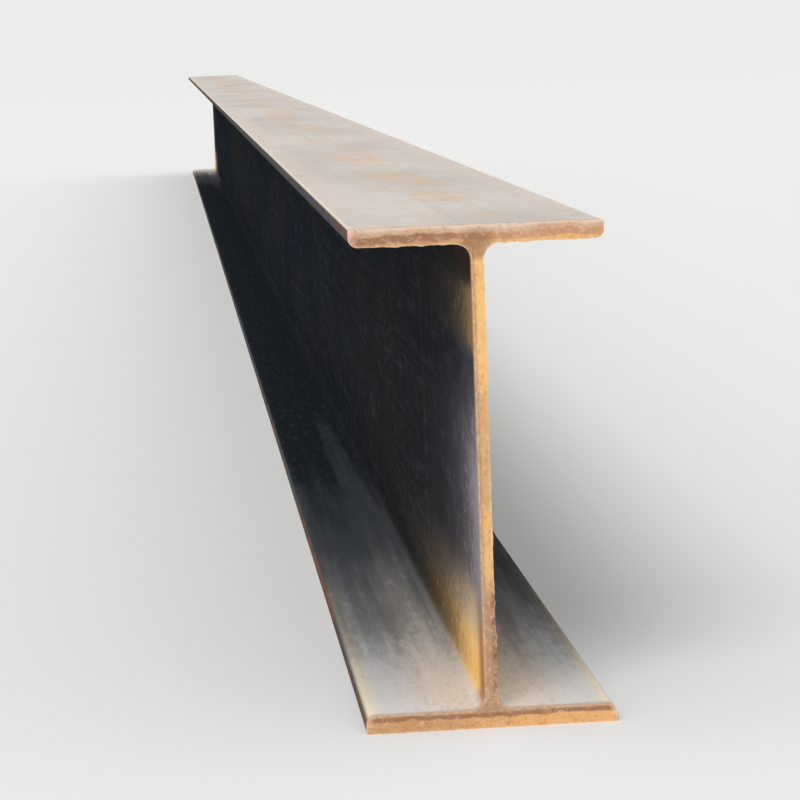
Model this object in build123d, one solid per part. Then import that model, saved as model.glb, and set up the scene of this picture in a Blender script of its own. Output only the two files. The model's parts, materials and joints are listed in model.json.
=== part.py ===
"""A hot-rolled steel h-beam: one solid with the rolled section, cut square to stock length.

The beam stands on its bottom flange with the web upright.  Its length runs along Y, the flanges
spread along X, and the origin is under the middle of the bottom flange.
"""
from build123d import *
import os

# The rolled section, in millimetres
depth = 250.0               # underside of the bottom flange to the top of the top flange
flange_width = 125.0        # toe to toe
web_thickness = 6.0
flange_thickness = 9.0
root_radius = 8.0           # hollow curve where the web runs into a flange
inner_toe_radius = 4.5      # the rolls round a flange toe well on the side of the web
outer_toe_radius = 1.2      # and leave it almost sharp on the outside

# The stock length, in millimetres
stock_length = 6000.0

# What the section weighs
steel_density = 7.85e-6     # kilograms in a cubic millimetre


def corners(sketch, across, height):
    """The corners of the section that lie that far across from its web and up or down from its middle."""
    def is_there(corner):
        return abs(abs(corner.X) - across) < 1e-6 and abs(abs(corner.Y) - height) < 1e-6
    return sketch.vertices().filter_by(is_there)


def rolled_section():
    """The section about its own middle: web, flanges, four root curves and eight rounded toe edges."""
    outside = depth / 2
    inside = outside - flange_thickness
    flange_middle = outside - flange_thickness / 2
    toe = flange_width / 2
    root = web_thickness / 2
    # the two roundings of a toe share the thickness of the flange
    room_for_inner_toe = 0.95 * flange_thickness - outer_toe_radius
    with BuildSketch() as section:
        Rectangle(web_thickness, depth)
        with Locations((0, flange_middle), (0, -flange_middle)):
            Rectangle(flange_width, flange_thickness)
        fillet(corners(section, root, inside), root_radius)
        fillet(corners(section, toe, inside), min(inner_toe_radius, room_for_inner_toe))
        fillet(corners(section, toe, outside), outer_toe_radius)
    return section.sketch


def rolled_beam():
    """The section raised onto its bottom flange and drawn out to both sides of the middle."""
    upright = Plane(origin=(0, 0, depth / 2), x_dir=(1, 0, 0), z_dir=(0, -1, 0))
    return extrude(upright * rolled_section(), amount=stock_length / 2, both=True)


beam = rolled_beam()
beam.label = "h_beam"
os.makedirs("parts", exist_ok=True)
export_step(beam, "parts/h_beam.step")

weight = beam.volume * steel_density
print(f"section {beam.volume / stock_length / 100:.2f} cm2")
print(f"weight {weight:.0f} kg, or {weight / (stock_length / 1000):.1f} kg for each metre")
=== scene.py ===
# %% [markdown]
# # A hot-rolled steel beam with rusty sawn ends
# A mill rolls a glowing bloom into this section in one piece, and a hot saw cuts it to stock length.
# Rolling leaves a thin dark skin of scale on every face. The saw leaves bare steel, which rusts within
# days, so the ends are the brightest and the most orange part of the beam.
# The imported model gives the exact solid. This script dresses it with three meshes: the rolled skin,
# and at each end the sawn face together with the burr that the saw pushed over its edges.

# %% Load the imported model
import json
import math
from itertools import accumulate
import bmesh
import bpy
from mathutils import Matrix, Vector
from mathutils.geometry import delaunay_2d_cdt


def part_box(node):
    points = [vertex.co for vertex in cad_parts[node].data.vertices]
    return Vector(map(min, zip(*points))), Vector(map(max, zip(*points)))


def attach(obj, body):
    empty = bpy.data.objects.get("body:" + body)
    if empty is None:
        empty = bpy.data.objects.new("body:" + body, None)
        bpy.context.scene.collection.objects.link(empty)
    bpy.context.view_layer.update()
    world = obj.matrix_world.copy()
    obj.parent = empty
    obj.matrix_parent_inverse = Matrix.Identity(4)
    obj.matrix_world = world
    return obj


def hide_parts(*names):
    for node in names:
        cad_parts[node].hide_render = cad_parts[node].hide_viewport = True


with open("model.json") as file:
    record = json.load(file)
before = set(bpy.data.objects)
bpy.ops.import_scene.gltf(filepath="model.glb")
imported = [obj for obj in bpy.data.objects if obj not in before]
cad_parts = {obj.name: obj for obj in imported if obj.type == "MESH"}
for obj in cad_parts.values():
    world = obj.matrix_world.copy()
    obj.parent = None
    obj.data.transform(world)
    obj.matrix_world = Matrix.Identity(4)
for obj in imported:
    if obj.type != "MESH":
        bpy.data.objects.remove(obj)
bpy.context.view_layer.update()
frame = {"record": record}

# %% [markdown]
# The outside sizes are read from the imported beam, and the web's thickness from the two places where
# the record says that its faces lie. The rest of the rolled section is repeated here by name.

# %% Sizes of the section, in metres
low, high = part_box("h_beam")
FLANGE_WIDTH, LENGTH, DEPTH = high - low
mounts = {mount["name"]: Vector(mount["pos_m"]) for mount in frame["record"]["mounts"]}
WEB = mounts["web_right"].x - mounts["web_left"].x
FLANGE = 0.009
ROOT_RADIUS = 0.008
INNER_TOE_RADIUS = 0.0045
OUTER_TOE_RADIUS = 0.0012
HALF_LENGTH = LENGTH / 2
MM = 0.001
print(f"section {DEPTH:.3f} x {FLANGE_WIDTH:.3f}, web {WEB:.3f}, length {LENGTH:.2f}")

# %% [markdown]
# ## Writing node trees as sums
# A node tree is easier to read as arithmetic than as a list of links. `Wire` wraps one socket and
# turns `+`, `*` and the like into Math nodes, and `Graph.node` makes every other node. The same two
# classes build the finishes and the shapes, because both kinds of tree share these nodes.

# %% A socket that behaves like a number
class Wire:
    def __init__(self, graph, socket):
        self.graph = graph
        self.socket = socket

    def __add__(self, other):
        return self.graph.math("ADD", self, other)

    def __sub__(self, other):
        return self.graph.math("SUBTRACT", self, other)

    def __rsub__(self, other):
        return self.graph.math("SUBTRACT", other, self)

    def __mul__(self, other):
        return self.graph.math("MULTIPLY", self, other)

    def __truediv__(self, other):
        return self.graph.math("DIVIDE", self, other)

    def __rtruediv__(self, other):
        return self.graph.math("DIVIDE", other, self)

    def __neg__(self):
        return self * -1

    def __abs__(self):
        return self.graph.math("ABSOLUTE", self)

    def __gt__(self, other):
        return self.graph.math("GREATER_THAN", self, other)

    def __lt__(self, other):
        return self.graph.math("LESS_THAN", self, other)

    __radd__ = __add__
    __rmul__ = __mul__

    def at_least(self, other):
        return self.graph.math("MAXIMUM", self, other)

    def at_most(self, other):
        return self.graph.math("MINIMUM", self, other)

    def fading(self, distance):
        """1 where the value is 0, and a third of that for every distance further."""
        return self.graph.math("EXPONENT", self / -distance)

    def between(self, start, end, low=0.0, high=1.0):
        """Goes smoothly from low to high while the value goes from start to end."""
        ends = {"Value": self, "From Min": start, "From Max": end, "To Min": low, "To Max": high}
        return self.graph.node("ShaderNodeMapRange", ends, interpolation_type="SMOOTHSTEP")["Result"]

    def band(self, start, end, soft):
        """1 from start to end, and 0 further than soft outside them."""
        return self.between(start - soft, start) * self.between(end, end + soft, 1, 0)

    def patchy(self, noise, share):
        """The same amount on the whole, but a share of it gathered where the noise is high."""
        patches = (self + (noise - 0.5) * 2.2).between(0.3, 0.7) * self.between(0, 0.12)
        return self * (1 - share) + patches * share


# %% A tree that makes its own nodes
class Outputs:
    """The outputs of a new node, by name or by number."""
    def __init__(self, graph, node):
        self.graph = graph
        self.node = node

    def __getitem__(self, key):
        return Wire(self.graph, self.node.outputs[key])


class Graph:
    def __init__(self, tree):
        self.tree = tree

    def node(self, kind, inputs=None, **settings):
        """Makes a node, sets its settings and then its sockets, and returns its outputs."""
        made = self.tree.nodes.new(kind)
        for name, value in settings.items():
            setattr(made, name, value)
        for key, value in (inputs or {}).items():
            if isinstance(value, Wire):
                self.tree.links.new(value.socket, made.inputs[key])
            else:
                made.inputs[key].default_value = value
        return Outputs(self, made)

    def math(self, operation, *values):
        return self.node("ShaderNodeMath", dict(enumerate(values)), operation=operation)["Value"]

    def hypot(self, a, b):
        return self.math("SQRT", a * a + b * b)

    def vector(self, x, y, z):
        return self.node("ShaderNodeCombineXYZ", {"X": x, "Y": y, "Z": z})["Vector"]

    def split(self, vector):
        parts = self.node("ShaderNodeSeparateXYZ", {"Vector": vector})
        return parts["X"], parts["Y"], parts["Z"]

    def noise(self, place, lump, stretch=(1, 1, 1), detail=3.0, roughness=0.55):
        """Cloudy noise about 0.5. A lump is that many millimetres, times stretch along each axis."""
        grid = [1 / (lump * MM * factor) for factor in stretch]
        spot = self.node("ShaderNodeVectorMath", {0: place, 1: grid}, operation="MULTIPLY")["Vector"]
        cloud = {"Vector": spot, "Scale": 1.0, "Detail": detail, "Roughness": roughness}
        return self.node("ShaderNodeTexNoise", cloud)["Fac"]

    def mix(self, share, first, second):
        """One colour turning into another as share goes from 0 to 1."""
        return self.node("ShaderNodeMix", {0: share, 6: first, 7: second}, data_type="RGBA")[2]


# %% [markdown]
# ## Colours
# Colours are written as they look on a screen, from 0 to 255, and made linear for the renderer. A
# finish is a function that makes the nodes of one surface, so that each layer has its own lines.

# %% Colours and finishes
def colour(red, green, blue):
    """What a screen shows as these three numbers, made linear by the screen's own curve."""
    parts = [part / 255 for part in (red, green, blue)]
    return [part / 12.92 if part <= 0.04045 else ((part + 0.055) / 1.055) ** 2.4
            for part in parts] + [1.0]


def finish(name, paint):
    """A material whose surface is made by the function paint."""
    material = bpy.data.materials.new(name)
    material.use_nodes = True
    material.node_tree.nodes.clear()
    g = Graph(material.node_tree)
    g.node("ShaderNodeOutputMaterial", {"Surface": paint(g)})
    print("finish", material.name, "of", len(material.node_tree.nodes), "nodes")
    return material


# %% [markdown]
# ## Where a point lies on the beam
# Every mask comes from where a point is and which way its face looks, never from where the camera
# stands, so the finish holds from every side. Lengths are in millimetres, which reads more easily.

# %% Measures of a point
class Place:
    def __init__(self, g):
        spot = g.node("ShaderNodeTexCoord")
        self.point = spot["Object"]
        x, y, z = g.split(self.point)
        self.x = x / MM
        self.z = z / MM
        self.across = abs(self.x)
        self.from_end = (HALF_LENGTH - abs(y)) / MM
        self.on_top = self.z > DEPTH / 2 / MM
        self.up = g.split(spot["Normal"])[2]


# %% [markdown]
# ## Finish of the rolled faces
# Mill scale is dark blue-black iron oxide, browner in clouds, with faint lines along the rolling. Its
# near-black tone is partly painted shade, because both blacks are written darker than the scale itself.
# It is the ground on which everything else lies, and on the web it is nearly all that shows. A
# painted picture would need seams and pixels for six metres. Noise that reads the place on the beam
# needs neither, and it is stretched along the beam, because rolling draws everything out that way.

# %% Bare mill scale, partly painted shade
BLUE_BLACK_AND_SHADE = colour(31, 38, 45)
BROWN_BLACK_AND_SHADE = colour(39, 40, 43)
WORN_SCALE = colour(82, 88, 95)
OLD_RUST = colour(94, 74, 60)


def mill_scale_and_shade(g, here):
    clouds = g.noise(here.point, 180, (1, 4, 1), 4, 0.6)
    flakes = g.noise(here.point, 8, (1, 5, 1), 5, 0.65)
    specks = g.noise(here.point, 3.2, (1, 1.3, 1), 4, 0.7)
    lines = g.noise(here.point, 3, (1, 160, 1))
    runs = g.noise(here.point, 11, (1, 1, 22), 3)
    # Both blacks are partly painted shade, darker than the scale itself.
    scale = g.mix(clouds.between(0.4, 0.62), BLUE_BLACK_AND_SHADE, BROWN_BLACK_AND_SHADE)
    scale = g.mix(flakes.between(0.5, 0.68) * 0.17, scale, WORN_SCALE)
    scale = g.mix(lines.between(0.52, 0.74) * 0.14, scale, WORN_SCALE)
    rusted = specks.between(0.58, 0.68) * clouds.between(0.44, 0.64, 0.08, 0.6)
    scale = g.mix(rusted, scale, OLD_RUST)
    return g.mix(runs.between(0.56, 0.76) * clouds.between(0.35, 0.6) * 0.2, scale, OLD_RUST)


# %% [markdown]
# Near the cut, weather gets at the scale. On the lower half of the web a pale purple-grey sheen fades
# within a hand's width; it is painted sheen, lightest at the cut. Under the top flange it is olive, and
# the root there stays dark brown. A plain fade would look like a shadow. Weather starts in small spots,
# so each layer breaks up into spots where it thins out.

# %% The web near the ends
# The first colour is painted sheen; the two others are rust.
GREY_SHEEN = colour(160, 150, 157)
OLIVE_RUST = colour(152, 122, 78)
DARK_RUST = colour(66, 46, 34)
SHEEN_REACH = 66
OLIVE_REACH = 60
DARK_REACH = 90
print("the web's bloom thins out over", SHEEN_REACH, "mm, its olive rust over", OLIVE_REACH, "mm")


def web_weather_and_sheen(g, here, skin):
    clouds = g.noise(here.point, 45, (1, 2, 1), 4)
    spots = g.noise(here.point, 6, (1, 1.2, 1), 5, 0.7)
    uneven = clouds.between(0.3, 0.6, 0.65, 1)
    # bloom is painted sheen, strongest at the cut and on the lower half of the web.
    bloom = here.from_end.fading(SHEEN_REACH) * here.z.between(115, 185, 1, 0.25) * uneven
    skin = g.mix(bloom.patchy(spots, 0.26), skin, GREY_SHEEN)
    head = here.z.band(194, 212, 14) * here.from_end.fading(OLIVE_REACH) * uneven
    skin = g.mix(head.patchy(spots, 0.4), skin, OLIVE_RUST)
    dark_root = here.z.between(216, 226) * here.from_end.fading(DARK_REACH)
    return g.mix(dark_root, skin, DARK_RUST)


# %% [markdown]
# Water stands in the trough of the bottom flange and wets the foot of the web. The foot rusts bright
# orange near the cut, where rain reaches it, burnt brown at the cut itself and dusty above. A straight
# band would look painted, so a slow noise lifts and lowers its upper edge.

# %% Rust at the foot of the web
ORANGE_RUST = colour(253, 204, 128)
DEEP_RUST = colour(214, 146, 78)
DUSTY_RUST = colour(214, 188, 152)
BURNT_RUST = colour(184, 134, 94)
FOOT_REACH = 86
print("the rust at the web's foot thins out over", FOOT_REACH, "mm")


def rusty_foot(g, here, skin):
    wander = g.noise(here.point, 60, (1, 3, 1), 3) - 0.5
    spots = g.noise(here.point, 7, (1, 1.4, 1), 5, 0.7)
    speckle = g.noise(here.point, 3, (1, 1.5, 1), 4, 0.65)
    height = here.z + wander * 16
    band = height.between(36, 76, 1, 0) * here.z.between(8.6, 9.4)
    strength = (here.from_end.fading(FOOT_REACH) * 1.9).at_most(1) * band
    rust = g.mix(speckle.between(0.5, 0.7) * 0.4, ORANGE_RUST, DEEP_RUST)
    rust = g.mix(height.between(30, 50), rust, DUSTY_RUST)
    rust = g.mix(here.from_end.between(34, 12), rust, BURNT_RUST)
    return g.mix(strength.patchy(spots, 0.2), skin, rust)


# %% [markdown]
# Faces that look up are pale near the open end, where dust and lime dry on them, and keep their dark
# scale further in, in shelter. In the trough that scale turns darker still from about half a metre in,
# and that darkening is partly painted shade. On the bottom flange the pale crust creeps furthest along
# beside the root, and a cream band near the toe is a painted highlight. Clouds and streaks change how
# far from the end a point counts as being, so the crust runs out in tongues instead of one straight
# fade.

# %% The trough of the bottom flange
CLAY_WHITE = colour(220, 219, 217)
BEIGE = colour(226, 216, 206)
CREAM_HIGHLIGHT = colour(238, 225, 203)
GREY_SCALE = colour(66, 70, 73)
DARK_SCALE_AND_SHADE = colour(33, 38, 43)
DIRT_BROWN = colour(150, 128, 112)
CRUST_REACH = 250
CRUST_END = 500
print("the trough's crust thins out over", CRUST_REACH, "mm and ends by", CRUST_END, "mm")


def trough_crust(g, here):
    clouds = g.noise(here.point, 70, (1, 3, 1), 4, 0.6)
    streaks = g.noise(here.point, 6, (1, 40, 1), 4)
    grain = g.noise(here.point, 2, (1, 4, 1), 4, 0.6)
    spots = g.noise(here.point, 5, (1, 5, 1), 5, 0.68)
    beside_root = here.across.band(14, 24, 7)
    reach = here.from_end * (1 - beside_root * 0.24)
    reach = reach * clouds.between(0.3, 0.7, 0.9, 1.12) * streaks.between(0.3, 0.7, 0.9, 1.1)
    # Darker further in: unweathered scale, and partly painted shade.
    bare = g.mix(reach.between(450, 900), GREY_SCALE, DARK_SCALE_AND_SHADE)
    bare = g.mix(spots.between(0.5, 0.7) * 0.2, bare, WORN_SCALE)
    crust = g.mix(here.across.between(42, 26), CLAY_WHITE, BEIGE)
    # A painted highlight along the rounding of the toe.
    crust = g.mix(here.across.between(53, 59), crust, CREAM_HIGHLIGHT)
    crust = g.mix(grain.between(0.48, 0.7) * here.across.between(48, 30, 0.1, 0.22), crust, DIRT_BROWN)
    thickness = (reach.fading(CRUST_REACH) * 1.05).at_most(1) * reach.between(60, CRUST_END, 1, 0)
    return g.mix(thickness.patchy(spots, 0.1), bare, crust)


# %% [markdown]
# The upper face of the top flange lies open and dries evenly, so it is pale grey from end to end. Tan
# rust comes through in broken spots over the web, and the toes are pinkish. A thin cream line along
# each edge is a painted highlight. Scuffs from handling lie askew, which a slanted copy of the
# coordinates gives.

# %% The top of the top flange
OPEN_GREY = colour(213, 206, 199)
DULL_GREY = colour(188, 180, 173)
PINKISH = colour(214, 202, 194)
TAN = colour(214, 184, 154)
EDGE_HIGHLIGHT = colour(232, 217, 196)
SPECK_BROWN = colour(132, 110, 94)


def open_crust(g, here):
    drift = g.noise(here.point, 110, (1, 3, 1), 4, 0.6)
    stains = g.noise(here.point, 9, (1, 2.2, 1), 6, 0.7)
    patches = g.noise(here.point, 34, (1, 2.4, 1), 6, 0.66)
    grain = g.noise(here.point, 2.4, (1, 2.4, 1), 4, 0.65)
    streaks = g.noise(here.point, 4, (1, 90, 1))
    x, y, z = g.split(here.point)
    scuffs = g.noise(g.vector(x + y * 0.5, y - x * 0.5, z), 2.5, (1, 16, 1), 3)
    crust = g.mix(drift.between(0.36, 0.64) * 0.6, OPEN_GREY, DULL_GREY)
    crust = g.mix(stains.between(0.48, 0.7) * 0.4, crust, DULL_GREY)
    crust = g.mix(streaks.between(0.5, 0.75) * 0.3, crust, DULL_GREY)
    crust = g.mix(here.across.between(38, 56) * stains.between(0.65, 0.4, 0.25, 0.85), crust, PINKISH)
    over_web = here.across.between(30, 8) * patches.between(0.42, 0.6) * stains.between(0.36, 0.54)
    crust = g.mix(over_web * 0.75, crust, TAN)
    crust = g.mix(scuffs.between(0.62, 0.72) * patches.between(0.5, 0.4) * 0.4, crust, DULL_GREY)
    crust = g.mix(grain.between(0.52, 0.72) * 0.2, crust, DULL_GREY)
    crust = g.mix(grain.between(0.68, 0.76) * (0.25 + over_web * 0.5), crust, SPECK_BROWN)
    # A painted highlight along each edge of the top.
    return g.mix(here.across.between(59.8, 61.2) * grain.between(0.3, 0.5) * 0.8, crust, EDGE_HIGHLIGHT)


# %% [markdown]
# The narrow sides of the flanges are rubbed in handling, so there the scale is polished to a dull
# grey. That grey and its rust are written darker than they are, which is partly painted shade. Rust
# comes back in fine streaks along the rolling, here and there in stretches.

# %% The sides of the flange toes
RUBBED_STEEL_AND_SHADE = colour(88, 88, 91)
SPOT_RUST_AND_SHADE = colour(126, 92, 71)


def rubbed_and_shaded_toe(g, here, skin):
    spots = g.noise(here.point, 5, (1, 8, 1), 6, 0.72)
    stretches = g.noise(here.point, 90, (1, 5, 1), 2)
    rusted = (spots + (stretches - 0.5) * 1.1).between(0.46, 0.68)
    # The rubbed grey and the rust are darkened as painted shade.
    worn_and_shade = g.mix(rusted, RUBBED_STEEL_AND_SHADE, SPOT_RUST_AND_SHADE)
    return g.mix(here.across.between(60.5, 62) * spots.between(0.25, 0.5, 0.6, 1), skin, worn_and_shade)


# %% [markdown]
# The layers could be materials of their own on sets of faces, but then the root curves would show a
# seam. Here one material mixes them by which way a face looks. The saw's heat has turned the last few
# millimetres tan all round. Bump gives the scale its flakes and grain. There is no gloss, because both
# dust and weathered scale are dull.

# %% The whole rolled skin
HEATED_TAN = colour(198, 162, 132)
SCALE_RELIEF = 0.25 * MM


def rolled_surface(g):
    here = Place(g)
    skin = rusty_foot(g, here, web_weather_and_sheen(g, here, mill_scale_and_shade(g, here)))
    skin = rubbed_and_shaded_toe(g, here, skin)
    crust = g.mix(here.on_top, trough_crust(g, here), open_crust(g, here))
    facing_up = here.up.between(0.3, 0.9)
    skin = g.mix(facing_up, skin, crust)
    skin = g.mix(here.from_end.between(8, 2) * 0.7, skin, HEATED_TAN)
    flakes = g.noise(here.point, 9, (1, 2, 1), 4, 0.6)
    grain = g.noise(here.point, 1.1, (1, 1.5, 1), 3, 0.65)
    height = flakes * 0.4 + grain * 0.6
    relief = g.node("ShaderNodeBump", {"Height": height, "Distance": SCALE_RELIEF, "Strength": 0.5})
    shine = {"Base Color": skin, "Roughness": 0.85, "Specular IOR Level": 0.0,
             "Normal": relief["Normal"]}
    return g.node("ShaderNodeBsdfPrincipled", shine)["BSDF"]


ROLLED = finish("weathered_scale", rolled_surface)

# %% [markdown]
# ## Finish of the sawn faces
# A saw cut has no scale, so it rusts to tan and orange, in bands that follow the section, and its edges
# keep a thin pale rim, partly worn burr and partly painted highlight. The rim could be painted on a map
# of the face. The distance to the edge is worked out instead, by the same sums that draw the section,
# so the rim follows every edge by itself.

# %% Distances inside the section
class Section:
    def __init__(self, g, here):
        inner, root = (DEPTH / 2 - FLANGE) / MM, ROOT_RADIUS / MM
        middle = abs(here.z - DEPTH / 2 / MM)
        left_over = (WEB / 2 / MM + root - here.across).at_least(0)
        self.to_hollow = g.hypot(left_over, (middle - (inner - root)).at_least(0)) - root
        self.to_outside = DEPTH / 2 / MM - middle
        self.to_toe = FLANGE_WIDTH / 2 / MM - here.across
        self.to_edge = self.to_hollow.at_most(self.to_outside).at_most(self.to_toe)
        self.in_flange = middle.between(inner - 3, inner + 1)
        self.rise = here.z - here.on_top * ((DEPTH - FLANGE) / MM)


print("edges at", round(FLANGE_WIDTH / 2 / MM, 1), "mm across and", round(DEPTH / 2 / MM, 1), "mm high")

# %% [markdown]
# The colours lie in soft bands along the flanges, because the saw crosses them flat: the top flange is
# palest above and brown in the middle, and the bottom flange is golden below and brown above. Both are
# warmer to the right. The bands wander with the clouds, because rust keeps to no line.

# %% The bands of the two flanges
PALE_TOP = colour(226, 202, 184)
TAN_TOP = colour(208, 172, 142)
BROWN_CORE = colour(158, 115, 84)
WARM_CORE = colour(202, 152, 117)
TAN_LOW = colour(200, 152, 108)
GOLD_LOW = colour(230, 176, 114)
DULL_UPPER = colour(180, 142, 112)


def top_flange_cut(g, rise, to_right):
    core = g.mix(to_right, BROWN_CORE, WARM_CORE)
    cut = g.mix(rise.between(2.4, 1.2), core, g.mix(to_right, TAN_LOW, GOLD_LOW))
    cut = g.mix(rise.between(4.6, 6), cut, TAN_TOP)
    return g.mix(rise.between(6.6, 8.4), cut, PALE_TOP)


def bottom_flange_cut(g, rise, to_right):
    cut = g.mix(rise.between(5, 6.2), g.mix(to_right, TAN_LOW, GOLD_LOW), BROWN_CORE)
    return g.mix(rise.between(7.2, 8.2), cut, DULL_UPPER)


# %% [markdown]
# The toes are paler than the rest: pinkish at the left of the top flange, and cream at both ends of
# the bottom one. They are laid over the bands, where a point is near enough to a toe.

# %% The cut of the flanges with its pale toes
PINK_TOE = colour(236, 196, 180)
CREAM_TOE = colour(232, 192, 150)
TOE_STRENGTH = 0.7


def flange_cut(g, here, inside, wander):
    rise = inside.rise + wander * 1.5
    to_right = (here.x + wander * 10).between(-35, 30)
    top = top_flange_cut(g, rise, to_right)
    cut = g.mix(here.on_top, bottom_flange_cut(g, rise, to_right), top)
    left_toe = (here.x + wander * 0.5).between(-57, -60.5)
    low_toe = (inside.to_toe + wander * 0.5).between(4.5, 1) * rise.between(2.4, 4)
    cut = g.mix(here.on_top * left_toe * TOE_STRENGTH, cut, PINK_TOE)
    return g.mix((1 - here.on_top) * low_toe * TOE_STRENGTH, cut, CREAM_TOE)


# %% [markdown]
# The web's cut is golden in the middle and near its head. It is duller near its foot, where the burr
# is rough and holds dirt, and tan along its left edge.

# %% The cut of the web
WEB_TAN = colour(184, 144, 108)
WEB_GOLD = colour(242, 190, 122)
WEB_SAND = colour(214, 168, 120)
WEB_DULL = colour(184, 144, 114)


def web_cut(g, here, wander):
    height = here.z + wander * 8
    bright = (height.band(84, 100, 14) * 0.7).at_least(height.between(160, 182))
    core = g.mix(bright, WEB_SAND, WEB_GOLD)
    cut = g.mix((here.x + wander * 0.4).between(-0.4, -2.6), core, WEB_TAN)
    return g.mix(height.between(76, 62), cut, WEB_DULL)


# %% [markdown]
# Over the bands lie pits with dust and brown in them, and spots of fresh rust. The pits are drawn out
# along the flange and up the web. The pale rim comes and goes along the edges, partly worn burr and
# partly painted highlight. Dirt sits in dark spots, and more dark spots crowd into the ragged burr at
# the right of the web's foot.

# %% Pits, fresh rust, rim and dirt of the cut
CUT_DUST = colour(236, 206, 178)
FRESH_RUST = colour(216, 146, 84)
CUT_RIM_AND_HIGHLIGHT = colour(240, 208, 172)
CUT_DARK = colour(112, 74, 52)


def pitted(g, here, inside, clouds, rust):
    along_flange = g.noise(here.point, 1.8, (1.5, 1, 1), 5, 0.7) * inside.in_flange
    along_web = g.noise(here.point, 1.8, (1, 1, 1.5), 5, 0.7) * (1 - inside.in_flange)
    pits = along_flange + along_web
    rust = g.mix(pits.between(0.5, 0.68) * 0.35, rust, CUT_DUST)
    rust = g.mix(pits.between(0.47, 0.34) * 0.42, rust, BROWN_CORE)
    rust = g.mix(clouds.between(0.54, 0.66) * 0.3, rust, BROWN_CORE)
    bloom = g.noise(here.point, 5, (1, 1, 1), 5, 0.7).between(0.55, 0.7)
    return g.mix(bloom * 0.45, rust, FRESH_RUST)


def rimmed(g, here, inside, grain, rust):
    # The pale rim is partly worn burr and partly painted highlight.
    rim = inside.to_edge.between(1.1, 0.2) * grain.between(0.3, 0.7)
    rust = g.mix(rim * 0.6, rust, CUT_RIM_AND_HIGHLIGHT)
    ragged_foot = here.x.between(0, 2.6) * here.z.band(22, 66, 10) * (1 - inside.in_flange)
    dark_spots = grain.between(0.62, 0.74) * 0.5 + grain.between(0.42, 0.56) * ragged_foot * 0.7
    return g.mix(dark_spots.at_most(1), rust, CUT_DARK)


# %% [markdown]
# At the head of the web the brown middle of the top flange sags into it. Bump adds the finest saw
# marks, because they are too fine for the mesh. The cut keeps a little gloss, being fresher than the
# scale.

# %% The whole cut
CUT_RELIEF = 0.4 * MM


def sawn_surface(g):
    here = Place(g)
    inside = Section(g, here)
    clouds = g.noise(here.point, 14, (1, 1, 1), 4, 0.6)
    tides = g.noise(here.point, 50, (1, 1, 1), 3)
    grain = g.noise(here.point, 2.2, (1, 1, 1), 4, 0.65)
    wander = (clouds - 0.5) * 3 + (tides - 0.5) * 3
    flanges = flange_cut(g, here, inside, wander)
    rust = g.mix(inside.in_flange, web_cut(g, here, wander), flanges)
    head = (here.across + wander).between(10, 4) * (here.z + wander * 0.7).band(236, 244, 5)
    rust = g.mix(head * 0.8, rust, BROWN_CORE)
    rust = pitted(g, here, inside, clouds, rust)
    rust = rimmed(g, here, inside, grain, rust)
    marks = g.noise(here.point, 1.4, (7, 1, 0.9), 2)
    height = clouds * 0.4 + grain * 0.3 + marks * 0.3
    relief = g.node("ShaderNodeBump", {"Height": height, "Distance": CUT_RELIEF, "Strength": 0.6})
    shine = {"Base Color": rust, "Roughness": grain.between(0.3, 0.7, 0.7, 0.9),
             "Specular IOR Level": 0.2, "Normal": relief["Normal"]}
    return g.node("ShaderNodeBsdfPrincipled", shine)["BSDF"]


SAWN = finish("rusty_saw_cut", sawn_surface)

# %% [markdown]
# ## The rolled section as an outline
# The section is a closed line of twelve corners. Each corner carries its own rounding as an
# attribute, and the shape tree reads it.

# %% Twelve corners, each with its rounding
def outline_corners():
    """The corners of the section anticlockwise, as (across, height from the middle, rounding)."""
    toe, root = FLANGE_WIDTH / 2, WEB / 2
    outside, inside = DEPTH / 2, DEPTH / 2 - FLANGE
    quarter = [(toe, outside, OUTER_TOE_RADIUS), (toe, inside, INNER_TOE_RADIUS),
               (root, inside, ROOT_RADIUS)]
    right = [(x, -z, r) for x, z, r in quarter] + quarter[::-1]
    return right + [(-x, z, r) for x, z, r in right[::-1]]


def outline_mesh():
    corners = outline_corners()
    mesh = bpy.data.meshes.new("outline")
    edges = [(i, (i + 1) % len(corners)) for i in range(len(corners))]
    mesh.from_pydata([(x, z, 0) for x, z, _ in corners], edges, [])
    rounding = mesh.attributes.new("rounding", "FLOAT", "POINT")
    rounding.data.foreach_set("value", [r for _, _, r in corners])
    return mesh


print("outline of", len(outline_corners()), "corners")

# %% [markdown]
# ## Shape trees
# Geometry Nodes make both shapes that follow a rule here. A tree gets named inputs for its sizes, runs
# once on a throwaway object, and leaves a plain mesh.

# %% Run a tree on a mesh and keep the plain result
def new_tree(name, **inputs):
    """A shape tree with a geometry input and output and named inputs of the kinds given."""
    tree = bpy.data.node_groups.new(name, "GeometryNodeTree")
    tree.interface.new_socket("Geometry", in_out="INPUT", socket_type="NodeSocketGeometry")
    for title, kind in inputs.items():
        tree.interface.new_socket(title, in_out="INPUT", socket_type="NodeSocket" + kind)
    tree.interface.new_socket("Geometry", in_out="OUTPUT", socket_type="NodeSocketGeometry")
    return tree


def run_tree(tree, mesh, **values):
    """What the tree makes of the mesh with these values for its inputs."""
    maker = bpy.data.objects.new(tree.name, mesh)
    bpy.context.scene.collection.objects.link(maker)
    modifier = maker.modifiers.new(tree.name, "NODES")
    modifier.node_group = tree
    for item in tree.interface.items_tree:
        if item.in_out == "INPUT" and item.name in values:
            modifier[item.identifier] = values[item.name]
    evaluated = maker.evaluated_get(bpy.context.evaluated_depsgraph_get())
    result = bpy.data.meshes.new_from_object(evaluated)
    bpy.data.objects.remove(maker)
    return result


# %% [markdown]
# The section could be extruded by hand, but a sweep keeps the outline, the roundings and the rings
# apart, so each can be set by itself. The rings crowd towards the ends, where the camera is near.

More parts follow.
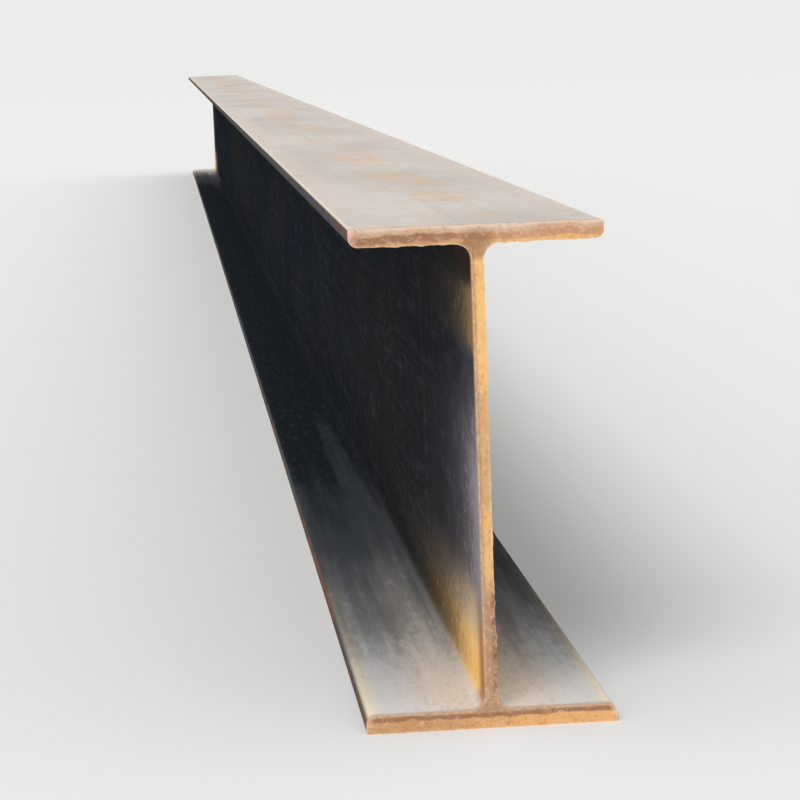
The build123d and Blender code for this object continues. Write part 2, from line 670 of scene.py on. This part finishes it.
# %% Sweep the section along the beam
def rounded_outline(g, given):
    """The outline with its corners rounded and its straight runs divided."""
    stored = g.node("GeometryNodeInputNamedAttribute", {"Name": "rounding"}, data_type="FLOAT")
    line = g.node("GeometryNodeMeshToCurve", {"Mesh": given["Geometry"]})["Curve"]
    corners = {"Curve": line, "Count": given["Steps"], "Radius": stored["Attribute"]}
    line = g.node("GeometryNodeFilletCurve", corners, mode="POLY")["Curve"]
    here = g.node("GeometryNodeInputPosition")["Position"]
    point = g.node("GeometryNodeInputIndex")["Index"]
    after = g.node("GeometryNodeOffsetPointInCurve", {"Point Index": point, "Offset": 1})
    wanted = {"Index": after["Point Index"], "Value": here}
    there = g.node("GeometryNodeFieldAtIndex", wanted, data_type="FLOAT_VECTOR")["Value"]
    run = g.node("ShaderNodeVectorMath", {0: here, 1: there}, operation="DISTANCE")["Value"]
    cuts = g.math("FLOOR", run / given["Spacing"])
    return g.node("GeometryNodeSubdivideCurve", {"Curve": line, "Cuts": cuts})["Curve"]


def sweep_tree():
    """Sweeps from the middle to one end, or with a Start of -1 from one end to the other."""
    tree = new_tree("sweep_section", Length="Float", Start="Float", Rings="Int", Crowding="Float",
                    Spacing="Float", Steps="Int", Finish="Material")
    g = Graph(tree)
    given = g.node("NodeGroupInput")
    line = g.node("GeometryNodeCurvePrimitiveLine", {"Start": (0, 0, 0), "End": (0, 1, 0)})["Curve"]
    line = g.node("GeometryNodeResampleCurve", {"Curve": line, "Count": given["Rings"]})["Curve"]
    share = g.node("GeometryNodeInputIndex")["Index"] / (given["Rings"] - 1)
    side = given["Start"] + (1 - given["Start"]) * share
    crowd = given["Crowding"]
    inward = (g.math("EXPONENT", crowd * (1 - abs(side))) - 1) / (g.math("EXPONENT", crowd) - 1)
    along = g.math("SIGN", side) * (1 - inward) * given["Length"] / 2
    rings = {"Geometry": line, "Position": g.vector(0, along, 0)}
    line = g.node("GeometryNodeSetPosition", rings)["Geometry"]
    line = g.node("GeometryNodeSetCurveNormal", {"Curve": line}, mode="Z_UP")["Curve"]
    swept = {"Curve": line, "Profile Curve": rounded_outline(g, given)}
    skin = g.node("GeometryNodeCurveToMesh", swept)["Mesh"]
    skin = g.node("GeometryNodeRealizeInstances", {"Geometry": skin})["Geometry"]
    dressed = {"Geometry": skin, "Material": given["Finish"]}
    g.node("NodeGroupOutput", {"Geometry": g.node("GeometryNodeSetMaterial", dressed)["Geometry"]})
    return tree


SWEEP = sweep_tree()
print("sweep tree of", len(SWEEP.nodes), "nodes")

# %% [markdown]
# A sweep is open at its ends. The cap is triangulated inside the last ring. For the cut face it gets
# a lattice of points as well, so that the face can carry relief, and a hidden cap gets none.

# %% Close the ends of a sweep
LATTICE_STEP = 1.1 * MM
CLEAR_OF_EDGE = 0.6
SAME_PLACE = 1e-6
MERGE_WITHIN = 1e-7


def lattice(spacing):
    """Points on a triangular lattice inside the section and clear of its outline."""
    clear = spacing * CLEAR_OF_EDGE
    row_height = spacing * math.sqrt(3) / 2
    outside, inside = DEPTH / 2 - clear, DEPTH / 2 - FLANGE + clear
    points = []
    for row in range(-int(outside / row_height), int(outside / row_height) + 1):
        z = row * row_height
        reach = (FLANGE_WIDTH if abs(z) > inside else WEB) / 2 - clear
        first = -reach + (reach + row % 2 * spacing / 2) % spacing
        count = int((reach - first) / spacing) + 1
        points += [Vector((first + i * spacing, z)) for i in range(count)]
    return points


def close_end(mesh, y, inner_points):
    """Caps the open ring at that y, and gives every corner of the ring to the cap."""
    work = bmesh.new()
    work.from_mesh(mesh)
    rim = [edge for edge in work.edges
           if edge.is_boundary and abs(edge.verts[0].co.y - y) < SAME_PLACE]
    ring = list({vertex for edge in rim for vertex in edge.verts})
    number = {vertex: i for i, vertex in enumerate(ring)}
    borders = [[number[vertex] for vertex in edge.verts] for edge in rim]
    flat = [vertex.co.xz for vertex in ring] + inner_points
    inside_borders = 1
    filled = delaunay_2d_cdt(flat, borders, [], inside_borders, MERGE_WITHIN)
    places, _, faces, origins, _, _ = filled
    made = []
    for place, origin in zip(places, origins):
        old = origin and origin[0] < len(ring)
        made.append(ring[origin[0]] if old else work.verts.new((place.x, y, place.y)))
    for face in faces:
        work.faces.new([made[i] for i in face])
    bmesh.ops.recalc_face_normals(work, faces=work.faces)
    work.to_mesh(mesh)
    work.free()


print("lattice of", len(lattice(LATTICE_STEP)), "points")

# %% [markdown]
# ## The rolled skin
# This is every rolled face in one closed mesh. It stops a little short of both ends, where the sawn
# ends take over. Its rings crowd there, because the flat map that comes next is stretched there.

# %% Make the rolled skin
END_STEP = 0.3 * MM
SKIN_RINGS = 181
skin = run_tree(SWEEP, outline_mesh(), Length=LENGTH - 2 * END_STEP, Start=-1.0, Rings=SKIN_RINGS,
                Crowding=5.25, Spacing=4 * MM, Steps=5, Finish=ROLLED)
for y in (END_STEP - HALF_LENGTH, HALF_LENGTH - END_STEP):
    close_end(skin, y, [])
skin.transform(Matrix.Translation((0, 0, DEPTH / 2)))
print("rolled skin", len(skin.vertices), "points")

# %% [markdown]
# The finish is worked out from places in space, but when the beam is exported its finish is baked into
# a flat picture. An even map would give the plain middle of the beam as many pixels as its rusty ends.
# So the skin is unrolled round the section in two rows, one for each half, and each row is stretched
# towards its end. The caps are never seen and lie small above the rows.

# %% Unroll the skin for baking
BAKE_MAP = "OFBake"
END_STRETCH = 1.5
MARGIN_ALONG = 0.005
MARGIN_UP = 0.003
ROW = 0.48
NEXT_ROW = 1.02
CAP_ROW = 0.97
CAP_HEIGHT = 0.025
CAP_MARGIN = 0.1


def lay_flat(mesh, spread):
    """Gives the mesh a map; spread takes a face and says where each of its corners lies."""
    layer = mesh.uv_layers.new(name=BAKE_MAP)
    for face in mesh.polygons:
        for loop, place in zip(face.loop_indices, spread(face)):
            layer.uv[loop].vector = place


def unroll(mesh, rings):
    """Maps a sweep of that many rings; its points are numbered ring by ring round the section."""
    points = [vertex.co for vertex in mesh.vertices]
    count = len(points) // rings
    steps = [(points[(i + 1) % count] - points[i]).length for i in range(count)]
    walked = [0, *accumulate(steps)]

    def spread(face):
        half = face.center.y > 0
        corners = [points[index] for index in face.vertices]
        is_cap = abs(face.normal.y) > 0.9
        if is_cap:
            width = 1 - 2 * CAP_MARGIN
            across = [half + CAP_MARGIN + width * (p.x / FLANGE_WIDTH + 0.5) for p in corners]
            return [(u / 2, CAP_ROW + CAP_HEIGHT * p.z / DEPTH) for u, p in zip(across, corners)]
        numbers = [index % count for index in face.vertices]
        closes_ring = max(numbers) - min(numbers) > count / 2
        if closes_ring:
            numbers = [number or count for number in numbers]
        inward = [1 - abs(p.y) / HALF_LENGTH for p in corners]
        along = [math.log1p(deep * math.expm1(END_STRETCH)) / END_STRETCH for deep in inward]
        rise = [(half * NEXT_ROW + walked[number] / walked[-1]) * ROW for number in numbers]
        length = 1 - 2 * MARGIN_ALONG
        return [(MARGIN_ALONG + length * u, MARGIN_UP + v) for u, v in zip(along, rise)]

    lay_flat(mesh, spread)
    print("unrolled", len(mesh.polygons), "faces, round a section of", round(walked[-1] / MM), "mm")


unroll(skin, SKIN_RINGS)

# %% [markdown]
# ## The sawn ends
# A saw tears the last of the steel away instead of cutting it, so a ragged burr stands out from the
# edges where its teeth leave: the undersides of the flanges and one side of the web. At the web's foot
# the teeth have left a row of nicks. The burr could be painted, but it breaks up the outline of the
# section, so it is real geometry: noise says how far each point of an edge stands out near the cut.

# %% How far the burr stands out
TOOTH_PITCH = 5.5 * MM
TOOTHED_FROM = 24
TOOTHED_TO = 64


def burr_height(g, flat_spot, deep, out_x, out_z):
    """The height of the burr in millimetres, from the place, its depth and the way its face looks."""
    x, _, z = g.split(flat_spot)
    ragged = g.noise(flat_spot, 7, detail=3, roughness=0.6).between(0.36, 0.7)
    torn = g.noise(flat_spot, 26, detail=2).between(0.4, 0.62)
    on_web = abs(x) < 5 * MM
    hanging = (-out_z).at_least(0) * (1 - on_web)
    exit_side = out_x.at_least(0) * on_web
    wave = abs(g.math("SINE", z * (math.pi / TOOTH_PITCH)))
    toothed = exit_side * (z / MM).band(TOOTHED_FROM, TOOTHED_TO, 10) * wave * wave * 0.6
    height = (0.12 + 0.5 * hanging + 0.25 * exit_side) * ragged * (0.35 + torn) + toothed * ragged
    reach = 0.8 + 2.2 * ragged
    return height * (deep / reach).between(0.2, 1, 1, 0)


print("nicks of the teeth from", TOOTHED_FROM, "to", TOOTHED_TO, "mm up the web")

# %% [markdown]
# Each end is a slice of the section. The burr moves its edge outwards near the cut, and its back dips
# just under the rolled skin, which hides the joint. Dents and saw marks press the cut itself in by less
# than half a millimetre. Its sharp edges are marked sharp, so that its curves can still look smooth.

# %% Roughen a slice of the section
BACK_DIP = 0.3
SHARP_FROM = math.radians(40)


def rough_tree():
    tree = new_tree("rough_cut", Burr="Float", Dents="Float", Seed="Float", Finish="Material")
    g = Graph(tree)
    given = g.node("NodeGroupInput")
    x, y, z = g.split(g.node("GeometryNodeInputPosition")["Position"])
    out_x, _, out_z = g.split(g.node("GeometryNodeInputNormal")["Normal"])
    deep = y / MM
    flat_spot = g.vector(x, given["Seed"], z)
    burr = burr_height(g, flat_spot, deep, out_x, out_z) * given["Burr"]
    moved = (burr - (deep / 3).between(0.3, 1) * BACK_DIP) * MM
    length = g.hypot(out_x, out_z).at_least(0.001)
    on_edge = (length - 0.2) > 0
    dents = g.noise(flat_spot, 9, detail=3) + g.noise(flat_spot, 1.6, (8, 1, 1), 1) * 0.5
    inward = dents * given["Dents"] * MM * deep.between(0, 0.2, 1, 0)
    step = g.vector(out_x / length * moved * on_edge, inward, out_z / length * moved * on_edge)
    pushed = {"Geometry": given["Geometry"], "Offset": step}
    rough = g.node("GeometryNodeSetPosition", pushed)["Geometry"]
    sharp = g.node("GeometryNodeInputMeshEdgeAngle")["Unsigned Angle"] > SHARP_FROM
    edges = {"Geometry": rough, "Selection": sharp, "Shade Smooth": False}
    rough = g.node("GeometryNodeSetShadeSmooth", edges, domain="EDGE")["Geometry"]
    rough = g.node("GeometryNodeRealizeInstances", {"Geometry": rough})["Geometry"]
    dressed = {"Geometry": rough, "Material": given["Finish"]}
    g.node("NodeGroupOutput", {"Geometry": g.node("GeometryNodeSetMaterial", dressed)["Geometry"]})
    return tree


ROUGHEN = rough_tree()
print("rough tree of", len(ROUGHEN.nodes), "nodes")

# %% [markdown]
# A sawn end is laid flat as it looks from the front, with its edge folded out round it like the rim of
# a tray. The thin web and flanges are drawn wider there than they are, so that they get more pixels.
# The hidden back lies small in the free corner beside the web.

# %% Lay a sawn end flat for baking
SLICE = 4 * MM
FOLD_OUT = 1.5
WEB_POWER = 0.6
FLANGE_POWER = 5
FLANGE_SHARE = 0.3
BACK_MIDDLE = 0.14
BACK_WIDTH = 0.24
BACK_LOW = 0.18
BACK_HEIGHT = 0.64


def widened_web(x):
    """The place across the map: a power below 1 widens what is near the middle."""
    share = abs(x) / (FLANGE_WIDTH / 2 + FOLD_OUT * SLICE + MM)
    return 0.5 + math.copysign(share ** WEB_POWER, x) / 2


def widened_flanges(z):
    """The place up the map: a share with a high power widens what is near the top and the foot."""
    share = (z - DEPTH / 2) / (DEPTH / 2 + FOLD_OUT * SLICE + MM)
    return 0.5 + ((1 - FLANGE_SHARE) * share + FLANGE_SHARE * share ** FLANGE_POWER) / 2


def lay_end_flat(mesh):
    def spread(face):
        corners = [mesh.vertices[index] for index in face.vertices]
        deep = [HALF_LENGTH - abs(corner.co.y) for corner in corners]
        is_back = abs(face.normal.y) > 0.8 and min(deep) > SLICE * 0.9
        if is_back:
            return [(BACK_MIDDLE + BACK_WIDTH * place.x / FLANGE_WIDTH,
                     BACK_LOW + BACK_HEIGHT * place.z / DEPTH) for place in (c.co for c in corners)]
        out = [corner.co + corner.normal * depth * FOLD_OUT for corner, depth in zip(corners, deep)]
        return [(widened_web(place.x), widened_flanges(place.z)) for place in out]

    lay_flat(mesh, spread)


print("the web takes", round(widened_web(WEB / 2) - widened_web(-WEB / 2), 2), "of the map's width")

# %% [markdown]
# The same two trees make both ends, and a seed gives each its own burr. The burr would hang down at
# the underside, but the beam stands on the floor, so no point goes below it.

# %% Make both sawn ends
NEAR_SEED = 1.7
FAR_SEED = 5.2


def sawn_end(turn, seed):
    """The slice at the near end, or at the far end when it is turned half round."""
    mesh = run_tree(SWEEP, outline_mesh(), Length=2 * SLICE, Start=0.0, Rings=8, Crowding=1.6,
                    Spacing=0.9 * MM, Steps=9, Finish=SAWN)
    close_end(mesh, 0, [])
    close_end(mesh, SLICE, lattice(LATTICE_STEP))
    mesh.transform(Matrix.Rotation(math.pi, 4, "Z"))
    mesh.transform(Matrix.Translation((0, SLICE, DEPTH / 2)))
    mesh = run_tree(ROUGHEN, mesh, Burr=1.0, Dents=0.25, Seed=seed, Finish=SAWN)
    mesh.transform(Matrix.Translation((0, -HALF_LENGTH, 0)))
    mesh.transform(Matrix.Rotation(turn, 4, "Z"))
    for vertex in mesh.vertices:
        vertex.co.z = max(vertex.co.z, 0)
    lay_end_flat(mesh)
    return mesh


def place_piece(name, mesh, smooth):
    """A piece of the beam that rides on its only body and counts its triangles."""
    mesh.name = name
    piece = bpy.data.objects.new(name, mesh)
    bpy.context.scene.collection.objects.link(piece)
    if smooth:
        mesh.shade_smooth()
    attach(piece, "root")
    triangles = sum(len(face.vertices) - 2 for face in mesh.polygons)
    print(name, triangles, "triangles")
    return piece


rolled_skin = place_piece("rolled_skin", skin, smooth=True)
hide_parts("h_beam")
place_piece("near_sawn_end", sawn_end(0, NEAR_SEED), smooth=False)
place_piece("far_sawn_end", sawn_end(math.pi, FAR_SEED), smooth=False)

# %% [markdown]
# ## Studio
# The floor is plain and pale. Far from the beam it turns into the same pale grey that the background
# shows, so no horizon cuts through the picture.

# %% Floor
BACKDROP = colour(236, 236, 235)
FLOOR_PAINT = colour(235, 235, 234)
FLOOR_SIZE = 120
FADE_FROM = 3
FADE_TO = 14


def seen_rays(g):
    """1 for the rays that show a surface, and 0 for those that light one."""
    rays = g.node("ShaderNodeLightPath")
    return rays["Is Camera Ray"].at_least(rays["Is Glossy Ray"]).at_least(rays["Is Transmission Ray"])


def floor_surface(g):
    x, y, _ = g.split(g.node("ShaderNodeTexCoord")["Object"])
    away = g.hypot(x, (abs(y) - HALF_LENGTH).at_least(0))
    paint = {"Base Color": FLOOR_PAINT, "Roughness": 0.9, "Specular IOR Level": 0.1}
    lit = g.node("ShaderNodeBsdfPrincipled", paint)
    shown = g.node("ShaderNodeEmission", {"Color": BACKDROP})
    fade = away.between(FADE_FROM, FADE_TO) * seen_rays(g)
    return g.node("ShaderNodeMixShader", {0: fade, 1: lit["BSDF"], 2: shown["Emission"]})["Shader"]


bpy.ops.mesh.primitive_plane_add(size=FLOOR_SIZE)
floor = bpy.context.object
floor.name = "studio_floor"
floor.data.materials.append(finish("pale_floor", floor_surface))

# %% [markdown]
# The camera stands where the photo was taken, to the left of the web and a little above the beam.
# Its place was worked out from the corners of the section and the way the edges run together, in
# flange widths from the middle of the near end. The picture is enlarged twice round the beam.

# %% Camera
EYE_LEFT, EYE_BACK, EYE_UP = 1.216, 10.783, 1.747
AIM_LEFT, AIM_UP = 0.321, 0.329
ROLL = math.radians(-2.11)
PHOTO_FOCAL = 1400
PHOTO_WIDTH = 800
ENLARGE = 2.0
near_end = Vector((0, -HALF_LENGTH, DEPTH / 2))
eye = near_end + Vector((-EYE_LEFT, -EYE_BACK, EYE_UP)) * FLANGE_WIDTH
aim = near_end + Vector((-AIM_LEFT, 0, AIM_UP)) * FLANGE_WIDTH
camera_data = bpy.data.cameras.new("camera")
camera_data.lens = camera_data.sensor_width * PHOTO_FOCAL * ENLARGE / PHOTO_WIDTH
camera_data.clip_start = 0.05
camera_data.clip_end = 200
camera = bpy.data.objects.new("camera", camera_data)
bpy.context.scene.collection.objects.link(camera)
ahead = (aim - eye).normalized()
level = ahead.cross(Vector((0, 0, 1))).normalized()
upright = level.cross(ahead)
right = level * math.cos(ROLL) + upright * math.sin(ROLL)
up = upright * math.cos(ROLL) - level * math.sin(ROLL)
camera.matrix_world = Matrix.Translation(eye) @ Matrix((right, up, -ahead)).transposed().to_4x4()
bpy.context.scene.camera = camera
print("lens", round(camera_data.lens, 1))

# %% [markdown]
# One large soft light stands in front, above and a little to the left. It is a sun with a wide angle,
# because that lights all six metres alike. The pale surroundings fill the rest. Together they light a
# face that looks up or forwards at about the level at which its colour is written.

# %% Lights
KEY_FROM = Vector((-0.28, -0.61, 0.74))
KEY_STRENGTH = 1.4
KEY_SOFTNESS = math.radians(28)
FILL_STRENGTH = 0.7

key_data = bpy.data.lights.new("key_light", "SUN")
key_data.energy = KEY_STRENGTH
key_data.angle = KEY_SOFTNESS
key = bpy.data.objects.new("key_light", key_data)
key.rotation_mode = "QUATERNION"
key.rotation_quaternion = KEY_FROM.to_track_quat("Z", "Y")
bpy.context.scene.collection.objects.link(key)

world = bpy.data.worlds.new("studio")
bpy.context.scene.world = world
world.use_nodes = True
world.node_tree.nodes.clear()
w = Graph(world.node_tree)
shown = w.node("ShaderNodeBackground", {"Color": BACKDROP, "Strength": 1.0})["Background"]
white = (1, 1, 1, 1)
lighting = w.node("ShaderNodeBackground", {"Color": white, "Strength": FILL_STRENGTH})["Background"]
both = w.node("ShaderNodeMixShader", {0: seen_rays(w), 1: lighting, 2: shown})["Shader"]
w.node("ShaderNodeOutputWorld", {"Surface": both})
bpy.context.scene.view_settings.view_transform = "Standard"
print("key light", KEY_STRENGTH, "and surroundings", FILL_STRENGTH)
